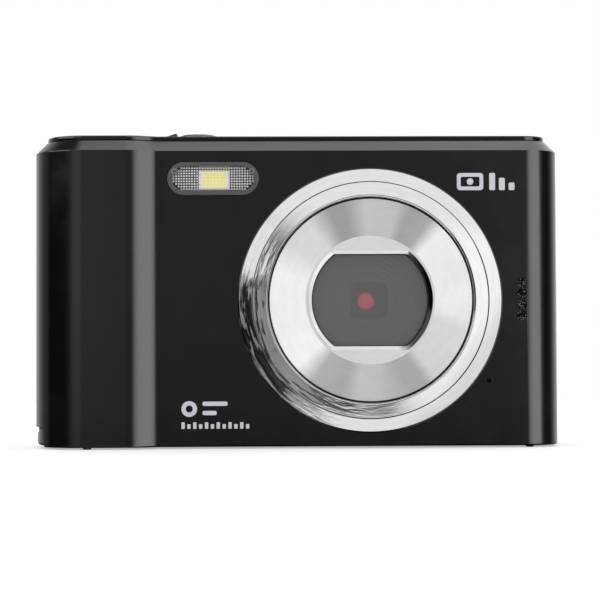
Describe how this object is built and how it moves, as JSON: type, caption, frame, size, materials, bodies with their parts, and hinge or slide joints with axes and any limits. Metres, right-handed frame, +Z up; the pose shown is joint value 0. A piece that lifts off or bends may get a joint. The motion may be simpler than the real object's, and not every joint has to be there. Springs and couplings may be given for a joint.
{
  "type": "compact digital camera",
  "caption": "Slim black compact camera with a raised silver ring around a fixed lens window, a flash, a rear screen, keys and a sliding, swinging battery door.",
  "frame": {"origin": "on the surface the camera stands on, under the middle of its bounding box", "axes": "+Z up, the lens faces -Y, the grip is on the -X side, +X is the right seen from the front"},
  "size_m": [0.098, 0.0219, 0.0591],
  "materials": {
    "shell": "satin black moulded plastic",
    "plate": "polished black plastic",
    "chrome": "bright plated ring",
    "satin": "satin silver, radially brushed",
    "glass": "clear window with a grey cast",
    "black": "matt black inside the lens and the battery bay",
    "coated": "coated glass with a pink reflection",
    "button": "satin grey",
    "key": "dark grey plastic",
    "steel": "plain steel",
    "brass": "plated spring contacts",
    "board": "green circuit board",
    "chip": "moulded chip package",
    "sensor": "image sensor package",
    "led": "yellow phosphor",
    "white": "white reflector",
    "clear": "clear moulded lens with a fine grid",
    "screen": "black display glass",
    "battery": "dark sleeve of the cell",
    "card": "blue memory card"
  },
  "bodies": {
    "camera_body": {"front_shell": "shell", "rear_shell": "shell", "top_plate": "plate", "strap_lug": "shell", "lens_ring_outer": "chrome", "lens_ring_inner": "chrome", "lens_dish": "satin", "window_bezel": "satin", "lens_window": "glass", "baffle_cup": "black", "lens_barrel": "black", "lens_front_element": "coated", "lens_rear_element": "clear", "lens_holder": "black", "ir_filter": "coated", "image_sensor": "sensor", "sensor_board": "board", "flash_window": "clear", "flash_reflector": "white", "flash_led": "led", "flash_board": "board", "switch_board": "board", "rocker_pin": "steel", "key_board": "board", "battery": "battery", "battery_box": "black", "battery_contacts": "brass", "door_pin": "steel", "card_socket": "steel", "memory_card": "card", "main_board": "board", "processor_chip": "chip", "lcd_frame": "steel", "lcd_panel": "screen", "lcd_window": "screen", "speaker": "steel", "microphone": "steel", "usb_port": "steel", "tripod_bush": "steel", "screw_base_left": "steel", "screw_base_right": "steel", "screw_side_low": "steel", "screw_side_high": "steel", "screw_grip_side": "steel"},
    "shutter_button": {"shutter_button": "button"},
    "power_button": {"power_button": "key"},
    "right_key": {"right_key": "key"},
    "up_key": {"up_key": "key"},
    "left_key": {"left_key": "key"},
    "down_key": {"down_key": "key"},
    "ok_key": {"ok_key": "button"},
    "mode_key": {"mode_key": "key"},
    "delete_key": {"delete_key": "key"},
    "menu_key": {"menu_key": "key"},
    "playback_key": {"playback_key": "key"},
    "zoom_rocker": {"zoom_rocker": "key"},
    "door_slider": {"door_slider": "steel"},
    "battery_door": {"battery_door": "shell"}
  },
  "joints": [
    {"name": "shutter_press", "type": "slide", "parent": "camera_body", "child": "shutter_button", "axis": [0, 0, -1], "range_m": [0, 0.0006], "stiffness_N_per_m": 600},
    {"name": "power_press", "type": "slide", "parent": "camera_body", "child": "power_button", "axis": [0, 0, -1], "range_m": [0, 0.0005], "stiffness_N_per_m": 600},
    {"name": "right_key_press", "type": "slide", "parent": "camera_body", "child": "right_key", "axis": [0, -1, 0], "range_m": [0, 0.0004], "stiffness_N_per_m": 600},
    {"name": "up_key_press", "type": "slide", "parent": "camera_body", "child": "up_key", "axis": [0, -1, 0], "range_m": [0, 0.0004], "stiffness_N_per_m": 600},
    {"name": "left_key_press", "type": "slide", "parent": "camera_body", "child": "left_key", "axis": [0, -1, 0], "range_m": [0, 0.0004], "stiffness_N_per_m": 600},
    {"name": "down_key_press", "type": "slide", "parent": "camera_body", "child": "down_key", "axis": [0, -1, 0], "range_m": [0, 0.0004], "stiffness_N_per_m": 600},
    {"name": "ok_key_press", "type": "slide", "parent": "camera_body", "child": "ok_key", "axis": [0, -1, 0], "range_m": [0, 0.0004], "stiffness_N_per_m": 600},
    {"name": "mode_key_press", "type": "slide", "parent": "camera_body", "child": "mode_key", "axis": [0, -1, 0], "range_m": [0, 0.0004], "stiffness_N_per_m": 600},
    {"name": "delete_key_press", "type": "slide", "parent": "camera_body", "child": "delete_key", "axis": [0, -1, 0], "range_m": [0, 0.0004], "stiffness_N_per_m": 600},
    {"name": "menu_key_press", "type": "slide", "parent": "camera_body", "child": "menu_key", "axis": [0, -1, 0], "range_m": [0, 0.0004], "stiffness_N_per_m": 600},
    {"name": "playback_key_press", "type": "slide", "parent": "camera_body", "child": "playback_key", "axis": [0, -1, 0], "range_m": [0, 0.0004], "stiffness_N_per_m": 600},
    {"name": "zoom_rock", "type": "hinge", "parent": "camera_body", "child": "zoom_rocker", "pos_m": [-0.03, 0.0082, 0.047], "axis": [0, 0, 1], "range_deg": [-4, 4], "stiffness_Nm_per_rad": 0.05},
    {"name": "door_slide", "type": "slide", "parent": "camera_body", "child": "door_slider", "axis": [1, 0, 0], "range_m": [0, 0.0028]},
    {"name": "door_swing", "type": "hinge", "parent": "door_slider", "child": "battery_door", "pos_m": [-0.0264, 0.007, 0.0015], "axis": [1, 0, 0], "range_deg": [0, 90]}
  ]
}
